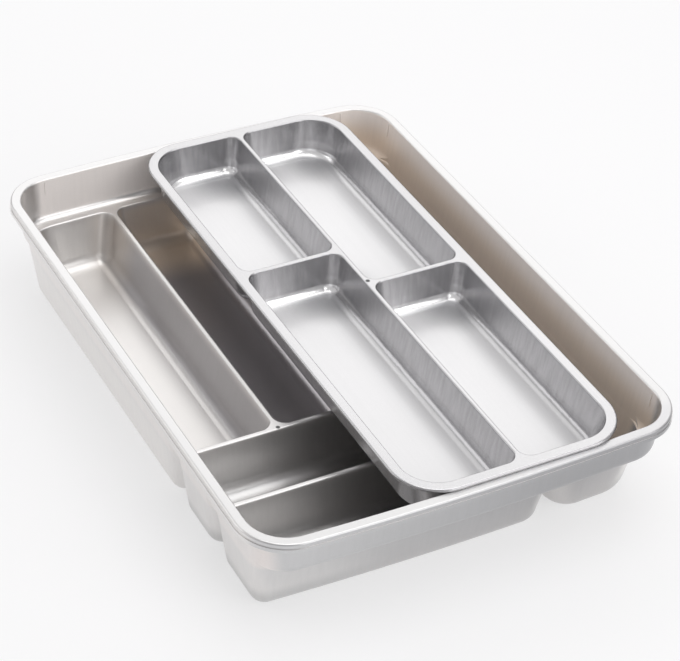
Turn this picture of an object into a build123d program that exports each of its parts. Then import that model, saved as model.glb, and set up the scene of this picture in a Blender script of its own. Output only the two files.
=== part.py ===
from build123d import *
from math import cos, radians, tan
import os

os.makedirs("parts", exist_ok=True)

# Cutlery tray in two mouldings: a deep main tray that stands in a drawer, and a shallow tray
# that lies across its front and rear rims and slides from side to side.
# X runs to the right, Y to the rear, Z up. The origin is under the middle of the main tray,
# on the surface that it stands on. Sizes are in millimetres, drafts in degrees.

# Both mouldings
wall = 1.5
divider_width = 3.0
bay_draft = 7.75
mouth_radius = 1.0
panel_height = 0.4
panel_margin = 1.0
panel_corner_radius = 3.0

# Main tray, outside
main_length = 395.6
main_width = 284.8
main_height = 66.5
end_crown = 3.7
rim_width = 7.3
rim_corner_radius = 31.9
rim_outer_radius = 1.3
rim_inner_radius = 1.2
skirt_depth = 5.7
skirt_lip_width = 0.5
skirt_lip_height = 2.4

# Main tray, open upper part and the ledge at its foot
band_depth = 29.5
band_draft = 5.0
ledge_radius = 5.0
ledge_outer_radius = 8.0
rear_ledge_width = 8.7
front_ledge_width = 10.5

# Main tray, bays below the ledge, measured where they open
left_bay_width = 64.0
right_bay_width = 68.0
front_bay_length = 54.5
second_bay_length = 48.0
bay_corner_radius = 8.5
tray_corner_radius = 24.0
right_bay_corner_radius = 27.5
front_bay_foot_radius = 13.0
right_bay_foot_radius = 16.0
bay_floor_radius = 9.0

# Main tray, short upright ribs where the rounded corners of the open upper part begin
rib_width = 1.0
rib_depth = 0.5
rib_drop = 2.0
rib_length = 9.5

# Sliding tray
slider_length = 384.4
slider_width = 148.6
slider_height = 27.9
slider_rim_width = 7.1
slider_rim_thickness = 2.4
slider_rim_radius = 1.3
slider_rim_foot_radius = 0.9
slider_corner_radius = 30.0
slider_bay_corner_radius = 8.0
slider_tray_corner_radius = 23.0
slider_floor_radius = 6.4
left_rear_bay_length = 146.0
right_rear_bay_length = 185.3
slider_shift = 29.3

# Levels and lengths that follow
inner_length = main_length - 2 * rim_width
inner_width = main_width - 2 * rim_width
inner_corner_radius = rim_corner_radius - rim_width
ledge_level = main_height - band_depth
band_slope = tan(radians(band_draft))
bay_slope = tan(radians(bay_draft))
band_inset = band_depth * band_slope
crown_radius = ((inner_width / 2) ** 2 + end_crown**2) / (2 * end_crown)
slider_top = main_height + slider_rim_thickness
slider_floor = slider_top - slider_height + wall

# Corners of a tray, as the side in X and the side in Y
left_front, left_rear, right_front, right_rear = (-1, -1), (-1, 1), (1, -1), (1, 1)
corners = (left_front, left_rear, right_front, right_rear)


def box_plan(left, right, front, rear, grow):
    """Rectangle between four sides, grown on each."""
    middle = Pos((left + right) / 2, (front + rear) / 2)
    return middle * Rectangle(right - left + 2 * grow, rear - front + 2 * grow)


def crowned(plan, front_grow, rear_grow):
    """Plan cut to the bowed ends of the main tray's inner edge, each grown outwards."""
    shift = inner_length / 2 - crown_radius
    rear_disc = Pos(0, shift) * Circle(crown_radius + rear_grow)
    front_disc = Pos(0, -shift) * Circle(crown_radius + front_grow)
    return plan & rear_disc & front_disc


def main_plan(grow):
    """Plan of the main tray at its inner rim edge, grown on every side, with rounded corners."""
    plan = crowned(Rectangle(inner_width + 2 * grow, inner_length + 2 * grow), grow, grow)
    return fillet(plan.vertices(), inner_corner_radius + grow)


def slab(plan, low, high):
    """Upright block on a plan, between two levels."""
    return extrude(Pos(0, 0, low) * plan, amount=high - low)


def tapered(plan, top, bottom, draft):
    """Block that narrows downwards from a plan at its top level."""
    return extrude(Pos(0, 0, top) * plan, amount=bottom - top, taper=draft)


def corner_radii(radius, wider):
    """Radius of each of four corners, with those named in wider set apart."""
    return {corner: wider.get(corner, radius) for corner in corners}


def corner_of(edge, middle):
    """Corner that an upright edge stands at, seen from the middle of its block."""
    place = edge.center() - middle
    return (1 if place.X > 0 else -1, 1 if place.Y > 0 else -1)


def round_uprights(block, radii, grow):
    """Round the four upright edges of a block, each by its corner's radius, grown."""
    middle = block.bounding_box().center()
    for radius in sorted(set(radii.values())):
        uprights = [edge for edge in block.edges() if abs(edge.tangent_at(0.5).Z) > 0.5]
        chosen = [edge for edge in uprights if radii[corner_of(edge, middle)] == radius]
        block = fillet(chosen, radius + grow)
    return block


def bay_block(plan, radii, floor_radius, opening, rise, floor, grow):
    """Inside of a bay as a solid, or its outside when grown by the wall.

    It starts by rise above the opening, tapers all the way and ends in a rounded floor.
    """
    skin = grow / cos(radians(bay_draft))
    block = tapered(plan(skin + rise * bay_slope), opening + rise, floor - grow, bay_draft)
    block = round_uprights(block, radii, grow)
    return fillet(block.edges().group_by(Axis.Z)[0], floor_radius + grow)


def bay_hollow(plan, radii, floor_radius, opening, rise, floor):
    """Inside of a bay with its flared mouth and the raised panel in its floor."""
    block = bay_block(plan, radii, floor_radius, opening, rise, floor, 0)
    collar = round_uprights(slab(plan(mouth_radius), opening, opening + rise), radii, mouth_radius)
    hollow = block + collar
    mouth = hollow.edges().filter_by_position(Axis.Z, opening, opening)
    neck = [edge for edge in mouth if edge not in collar.edges()]
    hollow = fillet(neck, mouth_radius)
    panel_inset = (opening - floor) * bay_slope + floor_radius + panel_margin
    panel = slab(plan(-panel_inset), floor, floor + panel_height)
    panel_radii = {
        corner: max(radius - panel_inset, panel_corner_radius)
        for corner, radius in radii.items()
    }
    return hollow - round_uprights(panel, panel_radii, 0)


def main_bays():
    """Plans of the main tray's bays where they open in the ledge, each with its corner radii."""
    left = band_inset - inner_width / 2
    right = inner_width / 2 - band_inset
    front = band_inset + front_ledge_width - inner_length / 2
    rear = inner_length / 2 - band_inset - rear_ledge_width
    front_bay_rear = front + front_bay_length
    second_bay_front = front_bay_rear + divider_width
    second_bay_rear = second_bay_front + second_bay_length
    long_bay_front = second_bay_rear + divider_width
    right_bay_left = right - right_bay_width
    middle_left = left + left_bay_width + divider_width
    middle_right = right_bay_left - divider_width
    middle_width = (middle_right - middle_left - divider_width) / 2
    front_wider = {right_front: front_bay_foot_radius}
    left_wider = {left_rear: tray_corner_radius}
    right_wider = {
        left_front: right_bay_foot_radius,
        right_front: right_bay_corner_radius,
        right_rear: right_bay_corner_radius,
    }
    bays = [
        (front_wider, (left, middle_right, front, front_bay_rear)),
        ({}, (left, middle_right, second_bay_front, second_bay_rear)),
        (left_wider, (left, left + left_bay_width, long_bay_front, rear)),
        ({}, (middle_left, middle_left + middle_width, long_bay_front, rear)),
        ({}, (middle_right - middle_width, middle_right, long_bay_front, rear)),
        (right_wider, (right_bay_left, right, front, rear)),
    ]
    return [(sides, corner_radii(bay_corner_radius, wider)) for wider, sides in bays]


def main_bay_plan(left, right, front, rear):
    """Plan of one bay as a function of its growth, with its ends on the bowed ledge lines."""
    front_line = -band_inset - front_ledge_width
    rear_line = -band_inset - rear_ledge_width
    return lambda grow: crowned(box_plan(left, right, front, rear, grow), grow + front_line, grow + rear_line)


def main_form(grow):
    """Inside of the main tray as a solid, or its outside when grown by the wall."""
    skin = grow / cos(radians(band_draft))
    over = 0 if grow else wall
    start = main_plan(skin + over * band_slope)
    band = tapered(start, main_height + over, ledge_level - grow, band_draft)
    band = fillet(band.edges().group_by(Axis.Z)[0], ledge_outer_radius if grow else ledge_radius)
    limit = tapered(start, main_height + over, -wall, band_draft)
    rise = ledge_radius + mouth_radius
    for sides, radii in main_bays():
        plan = main_bay_plan(*sides)
        if grow:
            bay = bay_block(plan, radii, bay_floor_radius, ledge_level, rise, wall, grow)
        else:
            bay = bay_hollow(plan, radii, bay_floor_radius, ledge_level, rise, wall)
        band += bay & limit
    return band


def main_rim():
    """Flat rim with a rounded outer edge and a skirt that ends in a small lip."""
    foot = main_height - skirt_depth
    skirt_width = rim_width - skirt_lip_width
    rim = slab(main_plan(skirt_width), foot, main_height)
    rim = fillet(rim.edges().group_by(Axis.Z)[-1], rim_outer_radius)
    rim += slab(main_plan(rim_width), foot, foot + skirt_lip_height)
    return rim - slab(main_plan(skirt_width - wall), foot, main_height - wall)


def corner_ribs():
    """Eight short ribs on the inner walls, two by each rounded corner."""
    rear_x = inner_width / 2 - inner_corner_radius
    side_y = inner_length / 2 - end_crown - inner_corner_radius
    top = main_height - rib_drop
    rise = wall + rib_depth / band_slope
    core = tapered(main_plan(wall * band_slope), main_height + rise, ledge_level, band_draft)
    ribs = []
    for side, end in corners:
        rear_rib = Pos(side * rear_x, end * inner_length / 2) * Rectangle(rib_width, rim_width)
        side_rib = Pos(side * inner_width / 2, end * side_y) * Rectangle(rim_width, rib_width)
        ribs += [slab(plan, top - rib_length, top) - core for plan in (rear_rib, side_rib)]
    return ribs


def main_tray():
    """Deep tray with six bays."""
    hollow = main_form(0)
    for rib in corner_ribs():
        hollow -= rib
    tray = main_rim() + main_form(wall) - hollow
    top = tray.faces().filter_by(Plane.XY).sort_by(Axis.Z)[-1]
    return fillet(top.inner_wires().edges(), rim_inner_radius)


def slider_bays():
    """Plans of the sliding tray's bays at its top, each with its corner radii."""
    right = slider_width / 2 - slider_rim_width
    rear = slider_length / 2 - slider_rim_width
    side = divider_width / 2
    left_split = rear - left_rear_bay_length
    right_split = rear - right_rear_bay_length
    bays = [
        (left_rear, (-right, -side, left_split, rear)),
        (left_front, (-right, -side, -rear, left_split - divider_width)),
        (right_rear, (side, right, right_split, rear)),
        (right_front, (side, right, -rear, right_split - divider_width)),
    ]
    return [
        (sides, corner_radii(slider_bay_corner_radius, {wide: slider_tray_corner_radius}))
        for wide, sides in bays
    ]


def sliding_tray():
    """Shallow tray with four bays that hang from one flat frame."""
    plan = fillet(Rectangle(slider_width, slider_length).vertices(), slider_corner_radius)
    tray = slab(plan, main_height, slider_top)
    tray = fillet(tray.edges().group_by(Axis.Z)[-1], slider_rim_radius)
    tray = fillet(tray.edges().group_by(Axis.Z)[0], slider_rim_foot_radius)
    hollows = []
    for sides, radii in slider_bays():
        bay_plan = lambda grow: box_plan(*sides, grow)
        tray += bay_block(bay_plan, radii, slider_floor_radius, slider_top, -mouth_radius, slider_floor, wall)
        hollows.append(bay_hollow(bay_plan, radii, slider_floor_radius, slider_top, mouth_radius, slider_floor))
    for hollow in hollows:
        tray -= hollow
    return Pos(slider_shift, 0, 0) * tray


export_step(main_tray(), "parts/main_tray.step")
export_step(sliding_tray(), "parts/sliding_tray.step")
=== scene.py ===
import math
import bpy
from mathutils import Matrix, Vector


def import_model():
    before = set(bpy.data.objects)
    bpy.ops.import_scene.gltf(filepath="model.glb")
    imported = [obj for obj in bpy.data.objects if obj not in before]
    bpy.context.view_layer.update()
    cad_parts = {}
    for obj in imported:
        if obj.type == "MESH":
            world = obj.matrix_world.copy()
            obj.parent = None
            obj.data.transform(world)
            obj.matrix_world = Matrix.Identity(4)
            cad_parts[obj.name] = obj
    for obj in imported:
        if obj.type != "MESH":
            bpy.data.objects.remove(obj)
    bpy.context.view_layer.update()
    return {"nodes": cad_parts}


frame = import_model()

# Camera, from the photograph's perspective
camera_place = (-0.54784, -0.95637, 0.87995)
camera_azimuth = -30.354
camera_elevation = 37.305
camera_roll = 4.020
lens_mm = 116.93
sensor_mm = 36.0

# Studio: a white floor in an even white room
floor_size = 8.0
floor_colour = (0.93, 0.925, 0.935)
floor_roughness = 0.9
floor_specular = 0.1
floor_glow = 0.965
floor_glow_share = 0.6
world_colour = (1.0, 0.99, 1.0)
world_strength = 0.5

# Soft lights, each aimed at the origin: key behind on the right, top overhead, fill in front on the
# right, left behind on the left
key_direction = (0.38, 0.75, 0.58)
key_distance = 1.7
key_size = (1.7, 1.1)
key_power = 5.6
top_direction = (0.15, -0.05, 1.0)
top_distance = 1.6
top_size = (1.4, 1.4)
top_power = 9.2
fill_direction = (0.40, -0.80, 0.42)
fill_distance = 1.7
fill_size = (1.4, 1.2)
fill_power = 8.8
left_direction = (-0.72, 0.55, 0.50)
left_distance = 1.7
left_size = (1.4, 0.8)
left_power = 4.2

# Moulded surface of both trays
flow_size = 9.0
flow_detail = 3.0
flow_tint = (0.94, 1.06)
flake_size = 2600.0
flake_detail = 1.0
flake_tint = (0.95, 1.05)
flake_height = 0.12
draw_size = 420.0
draw_detail = 2.0
draw_down_walls = (1.0, 1.0, 0.03)
draw_along_floors = (1.0, 0.02, 1.0)
draw_strength = (0.12, 1.0)
draw_middle = 0.5
bump_strength = 0.06
bump_distance = 0.0002
coat_weight = 0.15
coat_roughness = 0.08

# Finish of the main tray, silver, made paler or warmer by painted light and painted reflection
# where the room shows in it, and darker by painted shade in places
main_colour = (0.76, 0.745, 0.735)
main_roughness = 0.32
main_metallic = 0.88
main_draw_share = 0.08
# Painted shade: the top of the rim is a little darker than the rest of the tray
rim_painted_shade = (0.72, 0.715, 0.71)
# Painted light: the first bay, open above, is paler
first_bay_painted_light = (0.84, 0.82, 0.80)
# Painted shadow of the sliding tray on the right front end of the rim
front_rim_right_painted_shadow = (0.67, 0.665, 0.67)
# Painted shade in the bays under the sliding tray, darker still in the long bay behind the cross
# bays
deep_painted_shade = (0.62, 0.605, 0.60)
# Painted warm reflection on the rear walls of the bays under the sliding tray
deep_rear_painted_reflection = (1.0, 0.88, 0.76)
deep_darker_painted_shade = (0.53, 0.505, 0.52)
# Painted shade on the bay walls that face left
side_wall_painted_shade = (0.36, 0.355, 0.36)
# Painted shade on the floors of the cross bays
cross_floor_painted_shade = (0.60, 0.595, 0.59)
# Painted light on the upper walls inside the rim, pale behind, and with a warm brown painted
# reflection on the right, paler at its top
rear_band_painted_light = (0.90, 0.85, 0.82)
right_band_painted_light = (0.95, 0.81, 0.68)
right_band_top_painted_light = (0.97, 0.90, 0.85)
# Painted shade on the outside of the front, darker towards its right end
front_outside_painted_shade = (0.60, 0.60, 0.605)
front_outside_right_painted_shade = (0.37, 0.37, 0.38)
band_metallic = 0.0
deep_rear_metallic = 0.45
first_bay_metallic = 0.6

# Finish of the sliding tray, with painted light on its rim and floors, painted highlights on its
# roundings and painted shade on its mouth roundings and bay corners
slider_colour = (0.47, 0.465, 0.475)
# Painted light on the rim
slider_rim_painted_light = (0.60, 0.595, 0.60)
# Painted light on the bay floors
slider_floor_painted_light = (0.80, 0.795, 0.80)
slider_shade_colour = (0.42, 0.42, 0.43)
# Painted light on the rim, paler towards the front
slider_front_rim_painted_light = (0.65, 0.645, 0.65)
# Painted highlight on the roundings low in the bays that face the front
slider_round_painted_highlight = (0.97, 0.965, 0.97)
# Painted shade: a thin dark line on the mouth roundings that face right or rear
slider_edge_painted_shade = (0.16, 0.155, 0.16)
slider_roughness = 0.26
slider_metallic = 0.85
slider_floor_metallic = 0.35
slider_draw_share = 0.45

# Spots that the moulding gates leave, one on each tray
main_gate = (-0.0670, -0.0704, 0.0375)
slider_gate = (0.0300, 0.0004, 0.0689)
gate_size = (0.0017, 0.0011)
gate_colour = (0.10, 0.10, 0.10)

# Where a mask goes from 0 to 1, by the way that a surface faces
upright = (0.6, 0.3)
level = (0.7, 0.95)
leaning = (0.10, 0.35)
nearly_level = (0.99, 0.95)
faces_front_or_left = (0.4, 0.1)
faces_front = (-0.25, -0.65)
faces_left = (-0.2, -0.5)
faces_forward = (0.0, -0.15)
turned_away = (0.30, 0.55)

# Where a mask goes from 0 to 1 on the main tray, along an axis of the shared frame
inside_left = (-0.137, -0.131)
off_left = (-0.115, -0.105)
deep_from = (-0.09, -0.04)
left_to_right = (-0.14, 0.10)
rear_to_right = (-0.05, 0.10)
rim_right = (-0.02, 0.06)
right_ledge = (0.092, 0.100)
right_wall = (0.112, 0.122)
inside_front = (-0.186, -0.178)
outside_front = (-0.170, -0.180)
cross_bays = (-0.070, -0.080)
long_bays = (-0.075, -0.045)
rear_wall = (0.128, 0.158)
above_floor = (0.0015, 0.0035)
near_floor = (0.018, 0.008)
ledge_low = (0.030, 0.034)
ledge_up = (0.034, 0.040)
ledge_down = (0.040, 0.030)
band_height = (0.045, 0.064)
rim_down = (0.064, 0.060)
rim_up = (0.0645, 0.0655)

# The same on the sliding tray, and the bay corners that lie in shade
rear_to_front = (0.10, -0.10)
slider_floor_up = (0.0440, 0.0432)
slider_round_down = (0.055, 0.052)
slider_rim_up = (0.0665, 0.0675)
slider_mouth_up = (0.0672, 0.0676)
shade_reach = (0.040, 0.010)
slider_bay_corners = (
    (0.020, 0.176, 0.042),
    (0.020, 0.030, 0.042),
    (0.090, 0.176, 0.042),
    (0.090, -0.009, 0.042),
)


def socket_value(node, name, value):
    """Set a socket of a node, by its name or number, to a plain value."""
    node.inputs[name].default_value = value


def link(tree, source, target):
    """Join an output socket to an input socket."""
    tree.links.new(source, target)


def calculated(tree, operation, *values, clamp=False):
    """Result of a math node whose values are outputs or floats."""
    step = tree.nodes.new("ShaderNodeMath")
    step.operation = operation
    step.use_clamp = clamp
    for number, value in enumerate(values):
        if isinstance(value, float):
            socket_value(step, number, value)
        else:
            link(tree, value, step.inputs[number])
    return step.outputs["Value"]


def product(tree, first, second):
    """Product of two masks."""
    return calculated(tree, "MULTIPLY", first, second)


def largest(tree, first, second):
    """Larger of two masks."""
    return calculated(tree, "MAXIMUM", first, second)


def ramp(tree, value, low, high):
    """Smooth step of a value from 0 at low to 1 at high."""
    step = tree.nodes.new("ShaderNodeMapRange")
    step.interpolation_type = "SMOOTHSTEP"
    link(tree, value, step.inputs["Value"])
    socket_value(step, "From Min", low)
    socket_value(step, "From Max", high)
    return step.outputs["Result"]


def spread(tree, value, low, high):
    """A value between 0 and 1, spread from low to high."""
    step = tree.nodes.new("ShaderNodeMapRange")
    link(tree, value, step.inputs["Value"])
    socket_value(step, "To Min", low)
    socket_value(step, "To Max", high)
    return step.outputs["Result"]


def zone(tree, *limits):
    """Mask of the surface within all limits, each a value and its ramp."""
    mask = None
    for value, ends in limits:
        step = ramp(tree, value, *ends)
        mask = product(tree, mask, step) if mask else step
    return mask


def distance(tree, point):
    """Distance from a point on the part."""
    place = tree.nodes.new("ShaderNodeTexCoord")
    gap = tree.nodes.new("ShaderNodeVectorMath")
    gap.operation = "DISTANCE"
    link(tree, place.outputs["Object"], gap.inputs[0])
    socket_value(gap, 1, point)
    return gap.outputs["Value"]


def split(tree, vector):
    """Parts of a vector along each axis."""
    parts = tree.nodes.new("ShaderNodeSeparateXYZ")
    link(tree, vector, parts.inputs["Vector"])
    return parts.outputs


def place_and_facing(tree):
    """Place on the part and the way that a surface faces, each split by axis."""
    place = tree.nodes.new("ShaderNodeTexCoord")
    return split(tree, place.outputs["Object"]), split(tree, place.outputs["Normal"])


def noise(tree, vector, size, detail):
    """Noise between 0 and 1 over a vector, its size from another output."""
    texture = tree.nodes.new("ShaderNodeTexNoise")
    link(tree, vector, texture.inputs["Vector"])
    link(tree, size, texture.inputs["Scale"])
    socket_value(texture, "Detail", detail)
    return texture.outputs["Fac"]


def draw_noise(tree, vector, factors, size):
    """Noise that is drawn out into lines, by a factor for each axis."""
    stretched = tree.nodes.new("ShaderNodeVectorMath")
    stretched.operation = "MULTIPLY"
    link(tree, vector, stretched.inputs[0])
    socket_value(stretched, 1, factors)
    return noise(tree, stretched.outputs["Vector"], size, draw_detail)


def mix_values(tree, mask, first, second):
    """Value that goes from the first to the second with a mask; each is a float or an output."""
    blend = tree.nodes.new("ShaderNodeMix")
    link(tree, mask, blend.inputs["Factor"])
    for name, value in (("A", first), ("B", second)):
        if isinstance(value, float):
            socket_value(blend, name, value)
        else:
            link(tree, value, blend.inputs[name])
    return blend.outputs["Result"]


def mix_colours(tree, mask, first, second):
    """Colour that goes from the first to the second with a mask; each is a colour or an output."""
    blend = tree.nodes.new("ShaderNodeMix")
    blend.data_type = "RGBA"
    link(tree, mask, blend.inputs["Factor"])
    for socket, colour in ((blend.inputs[6], first), (blend.inputs[7], second)):
        if isinstance(colour, tuple):
            socket.default_value = (*colour, 1.0)
        else:
            link(tree, colour, socket)
    return blend.outputs[2]


def gate_marked(tree, colour, gate):
    """Colour with the small dark spot that the moulding gate leaves."""
    return mix_colours(tree, ramp(tree, distance(tree, gate), *gate_size), colour, gate_colour)


def pearl_group():
    """Fine pearl flake, faint flow marks and draw lines of a silver moulding, for both trays."""
    tree = bpy.data.node_groups.new("pearl_moulding", "ShaderNodeTree")
    sockets = tree.interface
    sockets.new_socket(name="Colour", in_out="INPUT", socket_type="NodeSocketColor")
    for name in ("Flow Size", "Flake Size", "Draw Size", "Draw Share", "Roughness"):
        sockets.new_socket(name=name, in_out="INPUT", socket_type="NodeSocketFloat")
    sockets.new_socket(name="Colour", in_out="OUTPUT", socket_type="NodeSocketColor")
    for name in ("Roughness", "Height"):
        sockets.new_socket(name=name, in_out="OUTPUT", socket_type="NodeSocketFloat")
    entry = tree.nodes.new("NodeGroupInput").outputs
    leave = tree.nodes.new("NodeGroupOutput").inputs
    place = tree.nodes.new("ShaderNodeTexCoord")
    spot = place.outputs["Object"]
    steep = ramp(tree, split(tree, place.outputs["Normal"])["Z"], *upright)

    flow = noise(tree, spot, entry["Flow Size"], flow_detail)
    flake = noise(tree, spot, entry["Flake Size"], flake_detail)
    down_walls = draw_noise(tree, spot, draw_down_walls, entry["Draw Size"])
    along_floors = draw_noise(tree, spot, draw_along_floors, entry["Draw Size"])
    lines = mix_values(tree, steep, along_floors, down_walls)

    tint = spread(tree, flow, *flow_tint)
    share = product(tree, entry["Draw Share"], spread(tree, steep, *draw_strength))
    centred = calculated(tree, "SUBTRACT", lines, draw_middle)
    drawn = calculated(tree, "MULTIPLY_ADD", centred, share, 1.0)
    both = product(tree, product(tree, tint, spread(tree, flake, *flake_tint)), drawn)
    colour = tree.nodes.new("ShaderNodeVectorMath")
    colour.operation = "SCALE"
    link(tree, entry["Colour"], colour.inputs[0])
    link(tree, both, colour.inputs["Scale"])

    link(tree, colour.outputs["Vector"], leave["Colour"])
    link(tree, product(tree, entry["Roughness"], tint), leave["Roughness"])
    link(tree, calculated(tree, "MULTIPLY_ADD", flake, flake_height, lines), leave["Height"])
    return tree


def silver_plastic(name, roughness, draw_share, group):
    """Silver pearl plastic, still without its colour and metal, as (material, pearl node)."""
    material = bpy.data.materials.new(name)
    material.use_nodes = True
    tree = material.node_tree
    shader = tree.nodes["Principled BSDF"]
    pearl = tree.nodes.new("ShaderNodeGroup")
    pearl.node_tree = group
    socket_value(pearl, "Flow Size", flow_size)
    socket_value(pearl, "Flake Size", flake_size)
    socket_value(pearl, "Draw Size", draw_size)
    socket_value(pearl, "Draw Share", draw_share)
    socket_value(pearl, "Roughness", roughness)
    link(tree, pearl.outputs["Colour"], shader.inputs["Base Color"])
    link(tree, pearl.outputs["Roughness"], shader.inputs["Roughness"])
    bump = tree.nodes.new("ShaderNodeBump")
    socket_value(bump, "Strength", bump_strength)
    socket_value(bump, "Distance", bump_distance)
    link(tree, pearl.outputs["Height"], bump.inputs["Height"])
    link(tree, bump.outputs["Normal"], shader.inputs["Normal"])
    socket_value(shader, "Coat Weight", coat_weight)
    socket_value(shader, "Coat Roughness", coat_roughness)
    return material, pearl


def painted_band_light(tree, spot, facing, inward):
    """Painted light and warm painted reflection, pale to brown, on the wall behind and on the
    right, as (mask, colour).
    """
    wall = zone(tree, (spot["X"], inside_left), (spot["Y"], inside_front), (facing["Z"], upright))
    high = largest(tree, ramp(tree, spot["Z"], *ledge_up), ramp(tree, spot["X"], *right_wall))
    ledge = zone(
        tree,
        (spot["X"], right_ledge),
        (spot["Y"], inside_front),
        (spot["Z"], ledge_low),
        (spot["Z"], rim_down),
    )
    mask = product(tree, inward, largest(tree, product(tree, wall, high), ledge))
    height = ramp(tree, spot["Z"], *band_height)
    right = mix_colours(tree, height, right_band_painted_light, right_band_top_painted_light)
    to_right = ramp(tree, spot["X"], *rear_to_right)
    return mask, mix_colours(tree, to_right, rear_band_painted_light, right)


def main_material(group):
    """Silver plastic of the main tray, with painted light, shade and reflection."""
    material, pearl = silver_plastic(
        "warm silver moulding", main_roughness, main_draw_share, group
    )
    tree = material.node_tree
    spot, facing = place_and_facing(tree)
    inward = zone(tree, (facing["X"], faces_front_or_left), (facing["Y"], faces_front_or_left))

    # The bays, with painted light and shade: the first one is paler with painted light, those to
    # its right under the sliding tray are darker with painted shade, with brown rear walls from a
    # painted warm reflection
    first_bay = zone(
        tree, (spot["Y"], long_bays), (spot["X"], inside_left), (spot["Z"], ledge_down)
    )
    first_bay = product(tree, inward, first_bay)
    # Painted shade on the floors of the cross bays
    cross_floor = zone(
        tree, (spot["Y"], cross_bays), (spot["Z"], near_floor), (spot["X"], inside_left)
    )
    # Painted shade in the bays under the sliding tray
    deep = product(tree, inward, zone(tree, (spot["X"], deep_from), (spot["Z"], ledge_down)))
    # Painted warm reflection, growing towards the rear walls
    brown = ramp(tree, spot["Y"], *rear_wall)
    # Painted shade on the bay walls that face left
    side_wall = zone(
        tree,
        (facing["X"], faces_left),
        (spot["Z"], ledge_down),
        (spot["Z"], above_floor),
        (spot["X"], off_left),
    )
    dark = mix_colours(tree, ramp(tree, spot["Y"], *long_bays), deep_painted_shade, deep_darker_painted_shade)
    shade = mix_colours(tree, brown, dark, deep_rear_painted_reflection)
    side_shade = mix_colours(tree, deep, side_wall_painted_shade, shade)
    colour = mix_colours(tree, first_bay, main_colour, first_bay_painted_light)
    colour = mix_colours(tree, cross_floor, colour, cross_floor_painted_shade)
    colour = mix_colours(tree, deep, colour, shade)
    colour = mix_colours(tree, side_wall, colour, side_shade)

    # Painted shade on the outside of the front and on the rim, each darker at the right end; at the
    # rim's right front end it is a painted shadow of the sliding tray
    outside = zone(tree, (spot["Y"], outside_front), (facing["Y"], faces_front))
    across = ramp(tree, spot["X"], *left_to_right)
    front = mix_colours(tree, across, front_outside_painted_shade, front_outside_right_painted_shade)
    rim = zone(tree, (spot["Z"], rim_up), (facing["Z"], level))
    rim_corner = zone(tree, (spot["X"], rim_right), (spot["Y"], outside_front))
    rim_light_and_shade = mix_colours(tree, rim_corner, rim_painted_shade, front_rim_right_painted_shadow)
    colour = mix_colours(tree, outside, colour, front)
    colour = mix_colours(tree, rim, colour, rim_light_and_shade)

    # Painted light and warm painted reflection on the upper walls behind and on the right
    band, band_light_colour = painted_band_light(tree, spot, facing, inward)
    colour = gate_marked(tree, mix_colours(tree, band, colour, band_light_colour), main_gate)
    link(tree, colour, pearl.inputs["Colour"])
    metal = spread(tree, product(tree, deep, brown), main_metallic, deep_rear_metallic)
    metal = mix_values(tree, first_bay, metal, first_bay_metallic)
    metal = mix_values(tree, band, metal, band_metallic)
    link(tree, metal, tree.nodes["Principled BSDF"].inputs["Metallic"])
    return material


def slider_material(group):
    """Cool silver plastic of the sliding tray, with painted light, highlights and shade."""
    material, pearl = silver_plastic(
        "cool silver moulding", slider_roughness, slider_draw_share, group
    )
    tree = material.node_tree
    spot, facing = place_and_facing(tree)
    between = ((facing["Z"], leaning), (facing["Z"], nearly_level))
    rim = zone(tree, (spot["Z"], slider_rim_up), (facing["Z"], level))
    flat = zone(tree, (spot["Z"], slider_floor_up), (facing["Z"], level))
    # Painted highlight on the roundings low in the bays that face the front
    round_highlight = zone(tree, *between, (spot["Z"], slider_round_down), (facing["Y"], faces_forward))
    # Painted shade as a thin dark line on the mouth roundings that face right or rear
    beyond = largest(
        tree, ramp(tree, facing["X"], *turned_away), ramp(tree, facing["Y"], *turned_away)
    )
    edge_shade = product(tree, zone(tree, (spot["Z"], slider_mouth_up), *between), beyond)

    # Painted light on the rim, paler towards the front
    to_front = ramp(tree, spot["Y"], *rear_to_front)
    rim_light_and_shade = mix_colours(tree, to_front, slider_rim_painted_light, slider_front_rim_painted_light)
    colour = mix_colours(tree, rim, slider_colour, rim_light_and_shade)
    colour = mix_colours(tree, round_highlight, colour, slider_round_painted_highlight)
    colour = mix_colours(tree, edge_shade, colour, slider_edge_painted_shade)

    # Painted light on the floors, with painted shade near each bay's rear right corner
    near = None
    for corner in slider_bay_corners:
        closeness = ramp(tree, distance(tree, corner), *shade_reach)
        near = largest(tree, near, closeness) if near else closeness
    floor_shade = mix_colours(tree, near, slider_floor_painted_light, slider_shade_colour)
    colour = gate_marked(tree, mix_colours(tree, flat, colour, floor_shade), slider_gate)
    link(tree, colour, pearl.inputs["Colour"])
    metal = spread(tree, flat, slider_metallic, slider_floor_metallic)
    link(tree, metal, tree.nodes["Principled BSDF"].inputs["Metallic"])
    return material


def dress(node, material):
    """Give a CAD node its one material."""
    mesh = frame["nodes"][node].data
    mesh.materials.clear()
    mesh.materials.append(material)


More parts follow.
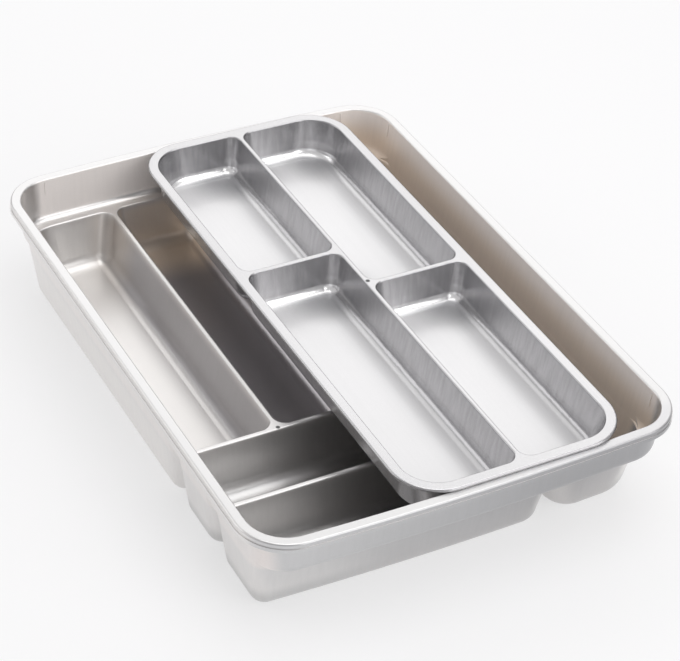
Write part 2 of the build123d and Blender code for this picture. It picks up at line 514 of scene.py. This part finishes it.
def floor_material():
    """White floor that shows white to the camera and in reflections, and keeps its shadows."""
    material = bpy.data.materials.new("white_sweep")
    material.use_nodes = True
    tree = material.node_tree
    shader = tree.nodes["Principled BSDF"]
    socket_value(shader, "Base Color", (*floor_colour, 1.0))
    socket_value(shader, "Roughness", floor_roughness)
    socket_value(shader, "Specular IOR Level", floor_specular)
    glow = tree.nodes.new("ShaderNodeEmission")
    socket_value(glow, "Color", (floor_glow, floor_glow, floor_glow, 1.0))
    bright = tree.nodes.new("ShaderNodeMixShader")
    socket_value(bright, "Fac", floor_glow_share)
    link(tree, shader.outputs["BSDF"], bright.inputs[1])
    link(tree, glow.outputs["Emission"], bright.inputs[2])
    ray = tree.nodes.new("ShaderNodeLightPath")
    seen = ray.outputs["Is Camera Ray"]
    for name in ("Is Glossy Ray", "Is Transmission Ray"):
        seen = calculated(tree, "ADD", seen, ray.outputs[name], clamp=True)
    pick = tree.nodes.new("ShaderNodeMixShader")
    link(tree, seen, pick.inputs["Fac"])
    link(tree, shader.outputs["BSDF"], pick.inputs[1])
    link(tree, bright.outputs["Shader"], pick.inputs[2])
    link(tree, pick.outputs["Shader"], tree.nodes["Material Output"].inputs["Surface"])
    return material


def floor():
    """Large plane that the tray stands on."""
    bpy.ops.mesh.primitive_plane_add(size=floor_size)
    plane = bpy.context.object
    plane.name = "floor"
    plane.data.materials.append(floor_material())


def area_light(name, direction, reach, size, power):
    """Soft rectangular light at a distance from the origin, which it looks at."""
    data = bpy.data.lights.new(name, "AREA")
    data.shape = "RECTANGLE"
    data.size, data.size_y = size
    data.energy = power
    lamp = bpy.data.objects.new(name, data)
    bpy.context.collection.objects.link(lamp)
    lamp.location = Vector(direction).normalized() * reach
    lamp.rotation_euler = Vector(direction).to_track_quat("Z", "Y").to_euler()


def world():
    """Even white room."""
    room = bpy.data.worlds.new("room")
    bpy.context.scene.world = room
    room.use_nodes = True
    back = room.node_tree.nodes["Background"]
    socket_value(back, "Color", (*world_colour, 1.0))
    socket_value(back, "Strength", world_strength)


def camera():
    """Camera at the photograph's place and angle."""
    turn, tilt, roll = (math.radians(v) for v in (camera_azimuth, camera_elevation, camera_roll))
    back = Vector(
        (math.sin(turn) * math.cos(tilt), -math.cos(turn) * math.cos(tilt), math.sin(tilt))
    )
    sideways = Vector((0, 0, 1)).cross(back).normalized()
    upward = back.cross(sideways)
    right = sideways * math.cos(roll) + upward * math.sin(roll)
    up = upward * math.cos(roll) - sideways * math.sin(roll)
    data = bpy.data.cameras.new("camera")
    data.lens = lens_mm
    data.sensor_width = sensor_mm
    view = bpy.data.objects.new("camera", data)
    bpy.context.collection.objects.link(view)
    axes = Matrix((right, up, back)).transposed()
    view.matrix_world = Matrix.Translation(camera_place) @ axes.to_4x4()
    bpy.context.scene.camera = view


bpy.context.scene.view_settings.view_transform = "Standard"
moulding = pearl_group()
dress("main_tray", main_material(moulding))
dress("sliding_tray", slider_material(moulding))
floor()
area_light("key", key_direction, key_distance, key_size, key_power)
area_light("top", top_direction, top_distance, top_size, top_power)
area_light("fill", fill_direction, fill_distance, fill_size, fill_power)
area_light("left", left_direction, left_distance, left_size, left_power)
world()
camera()
